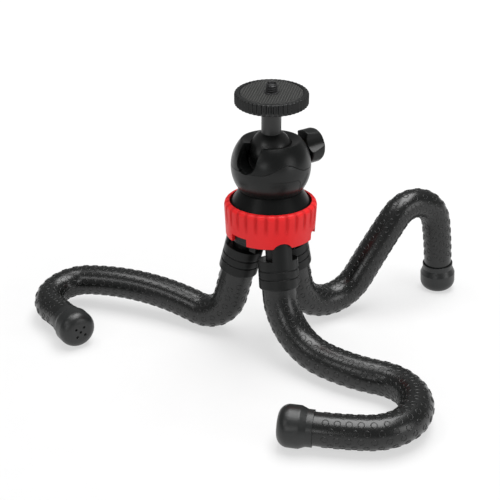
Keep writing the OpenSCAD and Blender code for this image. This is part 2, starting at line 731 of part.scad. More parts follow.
module leg_part(i, part) {
    if (part == "socket") socket(i);
    if (part == "root_cover") root_cover(i);
    if (part == "knee_cover") knee_cover(i);
    if (part == "span_cover") span_cover(i);
    if (part == "mid_cover") mid_cover(i);
    if (part == "tip_cover") tip_cover(i);
    if (part == "upper_core") upper_core(i);
    if (part == "lower_core") lower_core(i);
    if (part == "foot") foot(i);
}

camera_plate();
plate_pad();
camera_screw();
ball_stem();
head_upper_shell();
head_lower_shell();
ball_seat();
brake_pad();
lock_screw();
lock_nut();
lock_knob();
shell_screws();
base_dish();
head_stud();
hub_body();
collar();
leg_screws();
core_ferrules();
for (i = [0 : 2]) for (part = LEG_PARTS)
    leg_part(i, part);
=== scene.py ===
import math

import bpy
import numpy as np
from mathutils import Matrix, Vector


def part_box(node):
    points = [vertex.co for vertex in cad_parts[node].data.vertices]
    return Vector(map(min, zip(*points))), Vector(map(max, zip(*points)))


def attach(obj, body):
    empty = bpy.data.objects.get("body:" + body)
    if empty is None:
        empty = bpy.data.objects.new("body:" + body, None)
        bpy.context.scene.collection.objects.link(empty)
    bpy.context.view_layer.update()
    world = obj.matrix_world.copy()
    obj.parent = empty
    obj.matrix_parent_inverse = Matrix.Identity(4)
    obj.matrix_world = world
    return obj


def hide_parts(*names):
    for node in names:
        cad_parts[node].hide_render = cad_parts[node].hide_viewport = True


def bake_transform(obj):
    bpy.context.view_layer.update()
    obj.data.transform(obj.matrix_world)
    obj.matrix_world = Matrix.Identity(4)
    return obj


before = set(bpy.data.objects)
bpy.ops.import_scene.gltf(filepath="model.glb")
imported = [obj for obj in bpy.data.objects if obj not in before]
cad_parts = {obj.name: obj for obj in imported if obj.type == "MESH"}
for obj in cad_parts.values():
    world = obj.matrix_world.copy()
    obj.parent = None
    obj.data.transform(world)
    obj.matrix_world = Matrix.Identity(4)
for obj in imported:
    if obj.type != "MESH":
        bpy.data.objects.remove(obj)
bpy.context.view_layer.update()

MM = 0.001

# Sizes in millimetres, the same as the solids have
LEGS = ("right", "left", "front")
FIRST_LEG_TURN = 45.0
SOCKET_REACH = 18.5
SOCKET_DROP = 24.0
SOCKET_TILT = 14.0
LEG_LENGTH = 204.0
LEG_INSET = 12.0
LEG_ROOT_D = 19.5
LEG_TIP_D = 16.6
CORE_D = 8.0
CORE_IN = LEG_INSET + 10.0
FOOT_LENGTH = 18.0
FOOT_RUN = FOOT_LENGTH + 2.0
FOOT_ROUND = 6.0
COVER_END = LEG_LENGTH - FOOT_ROUND - 1.2
CORE_END = LEG_LENGTH - FOOT_ROUND - 1.5
FLEX = 32.0
KNEE_AT = {"right": 45.0, "left": 35.0, "front": 30.0}
MID_AT = {"right": 96.0, "left": 88.0, "front": 72.0}
# Arcs of each leg from its socket: length, turn and roll. The last one takes the length that is left.
BENDS = {
    "right": ((16, 0, 0), (58, 135, 17), (42, -12, 32), (41, -130, -37), (None, -6, 60)),
    "left": ((20, 0, 0), (30, 89, 15), (75, -25, 41), (44, -143, 39), (None, -6, 170)),
    "front": ((4, 0, 0), (49, 75, -37), (33, 18, -68), (74, -162, -14), (None, -7, -13)),
}
BALL_UP = 48.8
STEM_LEAN = 4.7
STEM_REACH = 26.4
PLATE_D = 39.7
PLATE_H = 6.4
PAD_RIM = 2.8
PAD_H = 1.2
PAD_PROUD = 0.3
PAD_SEAT = STEM_REACH + PLATE_H - PAD_H + PAD_PROUD
PAD_TOP = STEM_REACH + PLATE_H + PAD_PROUD
SCREW_D = 6.35
SCREW_BASE_R = SCREW_D / 2 + 0.6
SCREW_BASE_H = 1.0
NOTCH_TURN = -132.0
NOTCH_R = 6.6
NOTCH_FLOOR = 2.0
HEAD_DROP = 9.1
ROOM_R = 19.5
SEAT_R = 12.6

# Height of the stud as it is shown, up to where the solid's chamfer starts
STUD_SHOWN = 4.8

low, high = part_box("collar")
HUB = np.array([(low[0] + high[0]) / 2, (low[1] + high[1]) / 2, low[2]]) / MM
BALL_PLACE = Matrix.Translation(Vector((HUB + [0, 0, BALL_UP]) * MM))
AT_BALL = BALL_PLACE @ Matrix.Rotation(math.radians(STEM_LEAN), 4, "X")


class Wire:
    """An output of a node, which can stand in a sum."""

    def __init__(self, bench, socket):
        self.bench = bench
        self.socket = socket

    def maths(self, operation, first, second=0.0):
        return self.bench.node("ShaderNodeMath", {"operation": operation}, {0: first, 1: second})

    def maths_on(self, operation):
        return self.bench.node("ShaderNodeMath", {"operation": operation}, {0: self})

    def at_least(self, other):
        return self.maths("MAXIMUM", self, other)

    def at_most(self, other):
        return self.maths("MINIMUM", self, other)

    def output(self, name):
        return Wire(self.bench, self.socket.node.outputs[name])

    def __add__(self, other):
        return self.maths("ADD", self, other)

    def __radd__(self, other):
        return self.maths("ADD", other, self)

    def __sub__(self, other):
        return self.maths("SUBTRACT", self, other)

    def __mul__(self, other):
        return self.maths("MULTIPLY", self, other)

    def __truediv__(self, other):
        return self.maths("DIVIDE", self, other)

    def __pow__(self, other):
        return self.maths("POWER", self, other)


class Bench:
    """A node tree and the one way to add a node to it."""

    def __init__(self, tree):
        self.tree = tree

    def node(self, kind, settings=None, sockets=None, out=0):
        made = self.tree.nodes.new(kind)
        for name, value in (settings or {}).items():
            if name == "stops":
                self.set_stops(made.color_ramp, value)
            else:
                setattr(made, name, value)
        for key, value in (sockets or {}).items():
            for one in value if isinstance(value, list) else [value]:
                if isinstance(one, Wire):
                    self.tree.links.new(one.socket, made.inputs[key])
                else:
                    made.inputs[key].default_value = one
        if not made.outputs:
            return None
        return Wire(self, made.outputs[out])

    @staticmethod
    def set_stops(ramp, stops):
        while len(ramp.elements) < len(stops):
            ramp.elements.new(1.0)
        for element, (place, tone) in zip(ramp.elements, stops):
            element.position = place
            element.color = (tone, tone, tone, 1.0)

    def place(self):
        return self.node("ShaderNodeTexCoord", None, None, "Object")

    def place_parts(self):
        """X, Y and Z of the place, in metres."""
        split = self.node("ShaderNodeSeparateXYZ", None, {0: self.place()}, "X")
        return split, split.output("Y"), split.output("Z")

    def from_hub(self):
        """X, Y and Z of the place from the middle of the collar's underside, in millimetres."""
        return [part / MM - start for part, start in zip(self.place_parts(), HUB)]

    def grain(self, scale, detail=2.0):
        place = self.place()
        return self.node("ShaderNodeTexNoise", None, {"Vector": place, "Scale": scale, "Detail": detail})

    def streaks(self, stretch, scale, detail):
        drawn = self.node("ShaderNodeMapping", None, {0: self.place(), "Scale": (1.0, 1.0, stretch)})
        return self.node("ShaderNodeTexNoise", None, {"Vector": drawn, "Scale": scale, "Detail": detail})

    def ramp(self, value, stops):
        return self.node("ShaderNodeValToRGB", {"stops": stops}, {0: value})

    def tint(self, amount, first, second):
        tones = [tone if isinstance(tone, Wire) else (*tone, 1.0) for tone in (first, second)]
        return self.node("ShaderNodeMix", {"data_type": "RGBA"}, {0: amount, 6: tones[0], 7: tones[1]}, 2)

    def bump(self, height, depth, strength, edge=0.0):
        sockets = {"Height": height, "Distance": depth, "Strength": strength}
        if edge:
            sockets["Normal"] = self.node("ShaderNodeBevel", {"samples": 6}, {"Radius": edge})
        return self.node("ShaderNodeBump", None, sockets)


def new_finish(name):
    material = bpy.data.materials.new(name)
    material.use_nodes = True
    material.node_tree.nodes.clear()
    return material, Bench(material.node_tree)


def close_finish(bench, sockets):
    skin = bench.node("ShaderNodeBsdfPrincipled", None, sockets)
    bench.node("ShaderNodeOutputMaterial", None, {"Surface": skin})


LINE_BLACK = (0.001, 0.001, 0.001)


def moulded(name, tone, worn, rough, grain, depth, edge, shine, line_or_painted_shade=None, line_or_shade_tone=LINE_BLACK):
    """Injection-moulded plastic: fine spark-eroded grain, cloudy gloss, rounded edges, perhaps a dark
    line or painted shade.
    """
    material, bench = new_finish(name)
    cloud = bench.grain(60.0, 3.0)
    fine = bench.grain(grain, 2.0)
    speck = bench.ramp(bench.grain(900.0, 4.0), ((0.62, 0.0), (0.74, 1.0)))
    colour = bench.tint(cloud * 0.55 + speck * 0.35, tone, worn)
    gloss = rough - 0.05 + cloud * 0.07 + fine * 0.05 + speck * 0.06
    height = fine
    # An optional mask draws a dark panel line or paints shade into grooves, and sinks it as a bump.
    if line_or_painted_shade:
        cut = line_or_painted_shade(bench)
        colour = bench.tint(cut, colour, line_or_shade_tone)
        gloss = gloss + cut * 0.3
        height = fine - cut * 3.0
    normal = bench.bump(height, depth, 0.35, edge)
    close_finish(
        bench,
        {"Base Color": colour, "Roughness": gloss, "Normal": normal, "Specular IOR Level": shine},
    )
    return material


# Panel in the front of the lower shell: its direction, then millimetres from the collar's underside
PANEL_AIM = math.radians(-75.0)
PANEL_SIDE = 11.2
PANEL_TOP = 37.1
PANEL_ROUND = 3.0
PANEL_LINE = 0.3


def panel_line(bench):
    """Outline of the panel let into the front of the lower shell, fading to the left."""
    x, y, z = bench.from_hub()
    front = x * math.cos(PANEL_AIM) + y * math.sin(PANEL_AIM)
    across = y * math.cos(PANEL_AIM) - x * math.sin(PANEL_AIM)
    u = across - (PANEL_SIDE - PANEL_ROUND)
    v = z - (PANEL_TOP - PANEL_ROUND)
    corner = (u.at_least(0.0) ** 2.0 + v.at_least(0.0) ** 2.0) ** 0.5
    off = (corner + u.at_least(v).at_most(0.0) - PANEL_ROUND).maths_on("ABSOLUTE")
    near = bench.ramp(off / (2.0 * PANEL_LINE), ((0.35, 1.0), (0.65, 0.0)))
    fade = bench.ramp(across * 0.05 + 0.5, ((0.05, 0.0), (0.45, 1.0)))
    return near * fade * bench.ramp(front * 0.1, ((0.2, 0.0), (0.4, 1.0)))


def leg_rubber():
    """Smooth glossy rubber of the legs, with the faint flow lines of the moulding."""
    material, bench = new_finish("leg rubber")
    cloud = bench.grain(45.0, 3.0)
    fine = bench.grain(1600.0, 2.0)
    dust = bench.ramp(bench.grain(420.0, 5.0), ((0.6, 0.0), (0.8, 1.0)))
    colour = bench.tint(cloud * 0.4 + dust * 0.3, (0.003, 0.0034, 0.0033), (0.008, 0.0088, 0.0085))
    gloss = 0.21 + cloud * 0.08 + fine * 0.06 + dust * 0.08
    normal = bench.bump(fine + cloud * 0.6, 0.00005, 0.3)
    close_finish(bench, {"Base Color": colour, "Roughness": gloss, "Normal": normal})
    return material


def foot_rubber():
    """Duller rubber of the feet, scuffed where they touch the floor."""
    material, bench = new_finish("foot rubber")
    cloud = bench.grain(110.0, 4.0)
    fine = bench.grain(2600.0, 3.0)
    up = bench.place_parts()[2]
    scuff = bench.ramp(up * 250.0 + cloud * 0.5, ((0.3, 1.0), (0.75, 0.0)))
    colour = bench.tint(cloud * 0.5 + scuff * 0.35, (0.006, 0.0068, 0.0068), (0.013, 0.0142, 0.014))
    gloss = 0.3 + cloud * 0.12 + scuff * 0.12
    normal = bench.bump(fine + cloud, 0.00008, 0.45, 0.0004)
    close_finish(bench, {"Base Color": colour, "Roughness": gloss, "Normal": normal})
    return material


def polished_black():
    """Black anodised ball and stem: deep and glossy, with a turned finish on the stem."""
    material, bench = new_finish("polished black")
    rings = bench.streaks(30.0, 260.0, 2.0)
    cloud = bench.grain(120.0, 3.0)
    colour = bench.tint(cloud, (0.004, 0.0043, 0.0042), (0.009, 0.0094, 0.0092))
    gloss = 0.26 + rings * 0.12 + cloud * 0.05
    normal = bench.bump(rings, 0.00003, 0.25, 0.0003)
    close_finish(bench, {"Base Color": colour, "Roughness": gloss, "Normal": normal})
    return material


def blackened_steel():
    """Blackened steel of the camera screw, rubbed bright on the crests."""
    material, bench = new_finish("blackened steel")
    cloud = bench.grain(500.0, 4.0)
    fine = bench.grain(4000.0, 2.0)
    rubbed = bench.ramp(cloud, ((0.5, 0.0), (0.75, 1.0)))
    colour = bench.tint(rubbed, (0.018, 0.018, 0.019), (0.07, 0.07, 0.072))
    normal = bench.bump(fine, 0.00004, 0.4, 0.00015)
    close_finish(
        bench,
        {
            "Base Color": colour,
            "Roughness": 0.33 + fine * 0.12,
            "Metallic": rubbed * 0.5 + 0.3,
            "Normal": normal,
        },
    )
    return material


def metal(name, tone, worn, rough):
    """Plain inner metal: drawn or turned, with fine lines and a slight tarnish."""
    material, bench = new_finish(name)
    lines = bench.streaks(12.0, 500.0, 3.0)
    cloud = bench.grain(150.0, 3.0)
    colour = bench.tint(cloud, tone, worn)
    normal = bench.bump(lines, 0.00004, 0.4, 0.0002)
    close_finish(
        bench,
        {"Base Color": colour, "Roughness": rough + lines * 0.15, "Metallic": 1.0, "Normal": normal},
    )
    return material


def acetal():
    """Black acetal of the ball's seat and brake, waxy and a little cloudy."""
    material, bench = new_finish("black acetal")
    cloud = bench.grain(180.0, 4.0)
    fine = bench.grain(3000.0, 2.0)
    colour = bench.tint(cloud, (0.006, 0.006, 0.0062), (0.011, 0.011, 0.0112))
    normal = bench.bump(fine + cloud, 0.00005, 0.4, 0.0003)
    close_finish(bench, {"Base Color": colour, "Roughness": 0.42 + cloud * 0.12, "Normal": normal})
    return material


# Floor of the pad between its bumps, above its seat, and half the size of a bump
PAD_FLOOR = 0.75
BUMP_SIZE = (0.60, 0.46, 0.46)


def pad_rubber():
    """Dry rubber of the camera pad, with painted shade between its bumps and a painted sheen on their
    tops.
    """
    material, bench = new_finish("pad rubber")
    cloud = bench.grain(220.0, 4.0)
    fine = bench.grain(3200.0, 3.0)
    up = AT_BALL.to_3x3() @ Vector((0.0, 0.0, 1.0))
    floor = AT_BALL.translation.dot(up) / MM + PAD_SEAT + PAD_FLOOR
    x, y, z = bench.place_parts()
    level = x * up[0] + y * up[1] + z * up[2]
    # Painted light by height: dark shade on the floor between the bumps, a paler sheen on their tops
    raised = bench.ramp((level / MM - floor) / BUMP_SIZE[2], ((0.3, 0.0), (0.9, 1.0)))
    top = bench.tint(cloud * 0.6 + fine * 0.3, (0.044, 0.0452, 0.041), (0.085, 0.087, 0.079))
    colour = bench.tint(raised, (0.003, 0.0032, 0.0029), top)
    normal = bench.bump(fine, 0.00006, 0.5)
    close_finish(bench, {"Base Color": colour, "Roughness": 0.5 + cloud * 0.15, "Normal": normal})
    return material


# Grip grooves of the collar: how many, where their painted shade starts and how wide that shade is for
# their pitch
COLLAR_GROOVES = 28
GROOVE_FROM = 7.0
GROOVE_SHARE = 0.3


def groove_painted_shade(bench):
    """Painted shade in the collar's grip grooves, from GROOVE_FROM upwards."""
    x, y, z = bench.from_hub()
    turn = x.maths("ARCTAN2", y, x) * (COLLAR_GROOVES / (2.0 * math.pi))
    off = (turn.maths_on("FRACT") - 0.5).maths_on("ABSOLUTE")
    near = bench.ramp(off, ((0.05, 1.0), (GROOVE_SHARE, 0.0)))
    above = bench.ramp((z - GROOVE_FROM) * 0.2, ((0.0, 0.0), (1.0, 1.0)))
    return near * above


BLACK = (0.004, 0.0045, 0.0044)
WORN_BLACK = (0.009, 0.0098, 0.0095)
BLACK_GRAIN = 2600.0
BLACK_GRAIN_DEPTH = 0.00005


def black_moulding(name, rough, edge, shine, grain=BLACK_GRAIN, line_or_painted_shade=None):
    return moulded(name, BLACK, WORN_BLACK, rough, grain, BLACK_GRAIN_DEPTH, edge, shine, line_or_painted_shade)


HEAD_BLACK = black_moulding("head black", 0.3, 0.0006, 0.22)
SHELL_BLACK = black_moulding("lower shell black", 0.3, 0.0004, 0.3, line_or_painted_shade=panel_line)
DISH_BLACK = black_moulding("dish black", 0.34, 0.0005, 0.12)
HUB_BLACK = black_moulding("hub black", 0.36, 0.0005, 0.24)
PLATE_BLACK = black_moulding("plate black", 0.24, 0.00012, 0.3, grain=3200.0)
RED = (0.74, 0.0095, 0.012)
WORN_RED = (0.80, 0.015, 0.017)
# Darker red of the shade painted into the collar's grip grooves
GROOVE_SHADE_RED = (0.56, 0.0065, 0.008)
# Collar red, with painted shade in its grip grooves
COLLAR_RED = moulded(
    "collar red", RED, WORN_RED, 0.42, 2200.0, 0.00006, 0.00015, 0.3, groove_painted_shade, GROOVE_SHADE_RED
)
LEG_RUBBER = leg_rubber()
FOOT_RUBBER = foot_rubber()
BALL_BLACK = polished_black()
SCREW_BLACK = blackened_steel()
STEEL = metal("plated steel", (0.55, 0.55, 0.56), (0.44, 0.44, 0.45), 0.28)
BRASS = metal("turned brass", (0.66, 0.49, 0.21), (0.52, 0.36, 0.14), 0.3)
WIRE_METAL = metal("soft wire", (0.74, 0.75, 0.76), (0.62, 0.63, 0.64), 0.36)
ACETAL = acetal()
PAD_RUBBER = pad_rubber()

NODE_FINISH = {
    "ball_stem": BALL_BLACK,
    "head_upper_shell": HEAD_BLACK,
    "head_lower_shell": SHELL_BLACK,
    "ball_seat": ACETAL,
    "brake_pad": ACETAL,
    "lock_screw": STEEL,
    "lock_nut": BRASS,
    "lock_knob": HEAD_BLACK,
    "shell_screws": STEEL,
    "base_dish": DISH_BLACK,
    "head_stud": STEEL,
    "hub_body": HUB_BLACK,
    "collar": COLLAR_RED,
    "leg_screws": STEEL,
    "core_ferrules": WIRE_METAL,
}
for leg in LEGS:
    NODE_FINISH[leg + "_socket"] = HUB_BLACK
    NODE_FINISH[leg + "_foot"] = FOOT_RUBBER
for name, material in NODE_FINISH.items():
    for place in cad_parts[name].material_slots:
        place.material = material


def new_piece(name, points, faces, material, smooth=True):
    mesh = bpy.data.meshes.new(name)
    mesh.from_pydata([tuple(p) for p in points], [], [tuple(f) for f in faces])
    mesh.materials.append(material)
    mesh.polygons.foreach_set("use_smooth", [smooth] * len(mesh.polygons))
    mesh.update()
    piece = bpy.data.objects.new(name, mesh)
    bpy.context.scene.collection.objects.link(piece)
    return piece


def ring_points(rings, sides):
    """Points of rings about Z. A ring is a height with a radius or with a function of the angle."""
    points = []
    for height, radius in rings:
        for k in range(sides):
            angle = 2 * math.pi * k / sides
            r = radius(angle) if callable(radius) else radius
            points.append((r * math.cos(angle) * MM, r * math.sin(angle) * MM, height * MM))
    return points


def wall_faces(rings, sides, closed=False):
    """Faces from each ring of points to the next, and from the last to the first if closed."""
    faces = []
    for row in range(rings if closed else rings - 1):
        here = row * sides
        after = (row + 1) % rings * sides
        for k in range(sides):
            n = (k + 1) % sides
            faces.append((here + k, here + n, after + n, after + k))
    return faces


def mark_seats(piece, wall):
    """Marks the points after those of the wall as the seats of rings or bumps."""
    seat = piece.data.attributes.new("seat", "BOOLEAN", "POINT")
    seat.data.foreach_set("value", [k >= wall for k in range(len(piece.data.vertices))])


def grown(piece, tree, values):
    """Runs a node tree on a piece once and keeps the mesh that it makes."""
    modifier = piece.modifiers.new(tree.name, "NODES")
    modifier.node_group = tree
    for item in tree.interface.items_tree:
        if item.in_out == "INPUT" and item.name in values:
            modifier[item.identifier] = values[item.name]
    bpy.context.view_layer.update()
    graph = bpy.context.evaluated_depsgraph_get()
    mesh = bpy.data.meshes.new_from_object(piece.evaluated_get(graph), depsgraph=graph)
    piece.modifiers.clear()
    piece.data = mesh
    for extra in ("seat", "out", "along"):
        if extra in mesh.attributes:
            mesh.attributes.remove(mesh.attributes[extra])
    return piece


def new_tree(name, inputs):
    tree = bpy.data.node_groups.new(name, "GeometryNodeTree")
    tree.interface.new_socket("Geometry", in_out="INPUT", socket_type="NodeSocketGeometry")
    for title, kind in inputs:
        tree.interface.new_socket(title, in_out="INPUT", socket_type=kind)
    tree.interface.new_socket("Geometry", in_out="OUTPUT", socket_type="NodeSocketGeometry")
    bench = Bench(tree)
    return tree, bench, bench.node("NodeGroupInput")


def marked(bench, kind, name):
    return bench.node("GeometryNodeInputNamedAttribute", {"data_type": kind}, {"Name": name})


def close_tree(bench, given, seat, shape, sockets):
    """Sets a shape on each seat, drops the seats' own points and joins the shapes to the rest."""
    shape = bench.node("GeometryNodeSetShadeSmooth", None, {"Geometry": shape})
    shapes = bench.node(
        "GeometryNodeInstanceOnPoints",
        None,
        {"Points": given, "Selection": seat, "Instance": shape, **sockets},
    )
    rest = bench.node(
        "GeometryNodeDeleteGeometry", {"domain": "POINT"}, {"Geometry": given, "Selection": seat}
    )
    both = bench.node("GeometryNodeJoinGeometry", None, {"Geometry": [rest, shapes]})
    real = bench.node("GeometryNodeRealizeInstances", None, {"Geometry": both})
    finish = given.output("Finish")
    done = bench.node("GeometryNodeSetMaterial", None, {"Geometry": real, "Material": finish})
    bench.node("NodeGroupOutput", None, {"Geometry": done})


HOOP_SIDES = 14
RIDGE_SIDES = 4


def ring_tree():
    """Puts a small raised ring on each point that is marked as a seat, and keeps the rest."""
    tree, bench, given = new_tree(
        "raised rings",
        (
            ("Ring radius", "NodeSocketFloat"),
            ("Ridge radius", "NodeSocketFloat"),
            ("Leg radius", "NodeSocketFloat"),
            ("Finish", "NodeSocketMaterial"),
        ),
    )
    seat = marked(bench, "BOOLEAN", "seat")
    out = marked(bench, "FLOAT_VECTOR", "out")
    along = marked(bench, "FLOAT_VECTOR", "along")
    hoop = bench.node(
        "GeometryNodeCurvePrimitiveCircle",
        None,
        {"Resolution": HOOP_SIDES, "Radius": given.output("Ring radius")},
    )
    across = bench.node("ShaderNodeSeparateXYZ", None, {0: bench.node("GeometryNodeInputPosition")}, "Y")
    drop = across * across * -0.5 / given.output("Leg radius")
    sag = bench.node("ShaderNodeCombineXYZ", None, {2: drop})
    hoop = bench.node("GeometryNodeSetPosition", None, {"Geometry": hoop, "Offset": sag})
    rod = bench.node(
        "GeometryNodeCurvePrimitiveCircle",
        None,
        {"Resolution": RIDGE_SIDES, "Radius": given.output("Ridge radius")},
    )
    ring = bench.node("GeometryNodeCurveToMesh", None, {"Curve": hoop, "Profile Curve": rod})
    turn = bench.node("FunctionNodeAlignRotationToVector", {"axis": "Z"}, {"Vector": out})
    turn = bench.node(
        "FunctionNodeAlignRotationToVector",
        {"axis": "X", "pivot_axis": "Z"},
        {"Rotation": turn, "Vector": along},
    )
    close_tree(bench, given, seat, ring, {"Rotation": turn})
    return tree


def bump_tree():
    """Sets a low long bump on each point that is marked as a seat, and keeps the rest."""
    tree, bench, given = new_tree(
        "pad bumps", (("Bump size", "NodeSocketVector"), ("Finish", "NodeSocketMaterial"))
    )
    seat = marked(bench, "BOOLEAN", "seat")
    bump = bench.node("GeometryNodeMeshUVSphere", None, {"Segments": 8, "Rings": 4, "Radius": 1.0})
    close_tree(bench, given, seat, bump, {"Scale": given.output("Bump size")})
    return tree


def spun(v, axis, degrees):
    """A vector turned about an axis."""
    a = math.radians(degrees)
    return v * math.cos(a) + np.cross(axis, v) * math.sin(a) + axis * (axis @ v) * (1 - math.cos(a))


def arc_from(point, along, side, length, turn, roll):
    """Where an arc ends that starts at a point and bends towards its rolled side."""
    side = spun(side, along, roll)
    if abs(turn) < 0.01:
        return point + along * length, along, side
    a = math.radians(turn)
    r = length / a
    point = point + along * r * math.sin(a) + side * r * (1 - math.cos(a))
    return point, along * math.cos(a) + side * math.sin(a), side * math.cos(a) - along * math.sin(a)


def leg_rows(leg):
    """Arcs of a leg with the last one's length filled in and the straight run of the foot."""
    rows = list(BENDS[leg])
    left = LEG_LENGTH - FOOT_RUN - sum(row[0] for row in rows[:-1])
    rows[-1] = (left, rows[-1][1], rows[-1][2])
    return rows + [(FOOT_RUN, 0, 0)]


def leg_at(leg, distance):
    """Point, direction and untwisted side of a leg at a distance from its socket, in millimetres."""
    turn = math.radians(FIRST_LEG_TURN + 120.0 * LEGS.index(leg))
    tilt = math.radians(SOCKET_TILT)
    out = np.array([math.cos(turn), math.sin(turn), 0.0])
    up = np.array([0.0, 0.0, 1.0])
    place = (
        HUB + out * SOCKET_REACH - up * SOCKET_DROP,
        out * math.sin(tilt) - up * math.cos(tilt),
        out * math.cos(tilt) + up * math.sin(tilt),
    )
    rows = leg_rows(leg)
    rolled = 0.0
    for k, (length, bend, roll) in enumerate(rows):
        rolled += roll
        if k == len(rows) - 1 or distance <= length:
            point, along, side = arc_from(*place, distance, bend * distance / length, roll)
            return point, along, spun(side, along, -rolled)
        place = arc_from(*place, length, bend, roll)
        distance -= length


def leg_radius(distance):
    share = min(1.0, max(0.0, distance / LEG_LENGTH))
    return (LEG_ROOT_D + (LEG_TIP_D - LEG_ROOT_D) * share) / 2


def swept(leg, start, end, sides, step, radius):
    """Points and faces of a tube along a leg. radius(distance, angle) is in millimetres."""
    count = max(2, math.ceil((end - start) / step) + 1)
    angles = [2 * math.pi * k / sides for k in range(sides)]
    points = []
    for distance in np.linspace(start, end, count):
        point, along, side = leg_at(leg, distance)
        other = np.cross(along, side)
        for angle in angles:
            r = radius(distance, angle)
            points.append((point + r * (side * math.cos(angle) + other * math.sin(angle))) * MM)
    return points, wall_faces(count, sides)


def capped(points, faces, sides, at_start, at_end):
    """Closes the ends of a swept tube with points of their own, so that the wall's shading stays even."""
    wall = len(points)
    if at_start:
        first = len(points)
        points = points + points[:sides]
        faces = faces + [tuple(reversed(range(first, first + sides)))]
    if at_end:
        first = len(points)
        points = points + points[wall - sides : wall]
        faces = faces + [tuple(range(first, first + sides))]
    return points, faces


# Raised rings of the leg covers: rows round the leg, pitch along it, sizes and stretch
RING_ROWS = 12
RING_PITCH = 5.7
RING_RADIUS = 1.55
RING_BED_RADIUS = LEG_ROOT_D / 2 - 0.6
RING_SUNK = 0.1
RIDGE_RADIUS = 0.36
RING_FROM = 9.0
RING_TO = LEG_LENGTH - FOOT_LENGTH - 5.0
COVER_SIDES = 80
COVER_STEP = 1.0
RINGS = ring_tree()


def leg_cover(leg, name, start, end, at_start, at_end):
    """A stretch of leg cover with its staggered rows of raised rings."""
    points, faces = swept(leg, start, end, COVER_SIDES, COVER_STEP, lambda s, angle: leg_radius(s))
    points, faces = capped(points, faces, COVER_SIDES, at_start, at_end)
    wall = len(points)
    outs = [(0.0, 0.0, 1.0)] * wall
    alongs = [(1.0, 0.0, 0.0)] * wall
    for row in range(RING_ROWS):
        angle = 2 * math.pi * row / RING_ROWS
        s = RING_FROM + (row % 2) * RING_PITCH / 2
        while s < RING_TO:
            if start <= s < end:
                point, along, side = leg_at(leg, s)
                out = side * math.cos(angle) + np.cross(along, side) * math.sin(angle)
                points.append((point + out * (leg_radius(s) - RING_SUNK)) * MM)
                outs.append(tuple(out))
                alongs.append(tuple(along))
            s += RING_PITCH
    piece = new_piece(name, points, faces, LEG_RUBBER)
    mark_seats(piece, wall)
    for title, values in (("out", outs), ("along", alongs)):
        kept = piece.data.attributes.new(title, "FLOAT_VECTOR", "POINT")
        kept.data.foreach_set("vector", np.array(values, dtype=np.float32).ravel())
    sizes = {"Ring radius": RING_RADIUS, "Ridge radius": RIDGE_RADIUS, "Leg radius": RING_BED_RADIUS}
    values = {title: size * MM for title, size in sizes.items()}
    return grown(piece, RINGS, {**values, "Finish": LEG_RUBBER})


# Wires of a core: how many show, the length of one turn and the depth between them for the radius
STRANDS = 6
STRAND_LAY = 40.0
STRAND_DEPTH = 0.14
CORE_SIDES = 48
CORE_STEP = 2.0


def strand_radius(distance, angle):
    """Outline of a bundle of twisted wires."""
    turn = angle - 2 * math.pi * distance / STRAND_LAY
    return CORE_D / 2 * (1.0 - STRAND_DEPTH + STRAND_DEPTH * abs(math.cos(turn * STRANDS / 2)) ** 0.6)


def leg_core(leg, name, start, end):
    """A stretch of the twisted wires inside a leg."""
    points, faces = swept(leg, start, end, CORE_SIDES, CORE_STEP, strand_radius)
    points, faces = capped(points, faces, CORE_SIDES, True, True)
    return new_piece(name, points, faces, WIRE_METAL)


def on_leg(leg, distance):
    return tuple(leg_at(leg, distance)[0] * MM)


for leg in LEGS:
    knee = (KNEE_AT[leg] - FLEX / 2, KNEE_AT[leg] + FLEX / 2)
    mid = (MID_AT[leg] - FLEX / 2, MID_AT[leg] + FLEX / 2)
    span, tip = leg + "_span", leg + "_tip"

    upper = leg_cover(leg, leg + "_upper_cover", -LEG_INSET, mid[0], True, False)
    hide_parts(leg + "_root_cover", leg + "_knee_cover", leg + "_span_cover")
    on_leg(leg, knee[0])
    on_leg(leg, knee[1])
    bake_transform(upper)

    middle = leg_cover(leg, leg + "_middle_cover", mid[0], mid[1], False, False)
    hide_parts(leg + "_mid_cover")
    on_leg(leg, mid[0])
    on_leg(leg, mid[1])
    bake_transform(middle)

    lower = leg_cover(leg, leg + "_lower_cover", mid[1], COVER_END, False, True)
    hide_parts(leg + "_tip_cover")
    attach(lower, tip)

    wires = leg_core(leg, leg + "_upper_wires", -CORE_IN, mid[0])
    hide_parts(leg + "_upper_core")
    on_leg(leg, knee[0])
    on_leg(leg, knee[1])
    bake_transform(wires)

    wires = leg_core(leg, leg + "_middle_wires", mid[0], mid[1])
    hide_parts(leg + "_lower_core")
    on_leg(leg, mid[0])
    on_leg(leg, mid[1])
    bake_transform(wires)

    wires = leg_core(leg, leg + "_lower_wires", mid[1], CORE_END)
    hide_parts(leg + "_lower_core")
    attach(wires, tip)


def turned_piece(name, rings, sides, material):
    """A piece turned from a list of rings and closed at its first and last ring."""
    faces = wall_faces(len(rings), sides)
    faces.append(tuple(reversed(range(sides))))
    last = (len(rings) - 1) * sides
    faces.append(tuple(range(last, last + sides)))
    return new_piece(name, ring_points(rings, sides), faces, material)


THREAD_PITCH = 1.27
THREAD_DEPTH = 0.5
THREAD_SHARE = 0.36
THREAD_STEP = 0.09
STUD_TAPER = 0.75
STUD_SIDES = 56
# Hollow tip of the stud: distance below the tip, and radius
STUD_RECESS = ((0.02, 2.48), (0.0, 2.4), (0.06, 2.3), (0.3, 2.2), (1.7, 2.1))


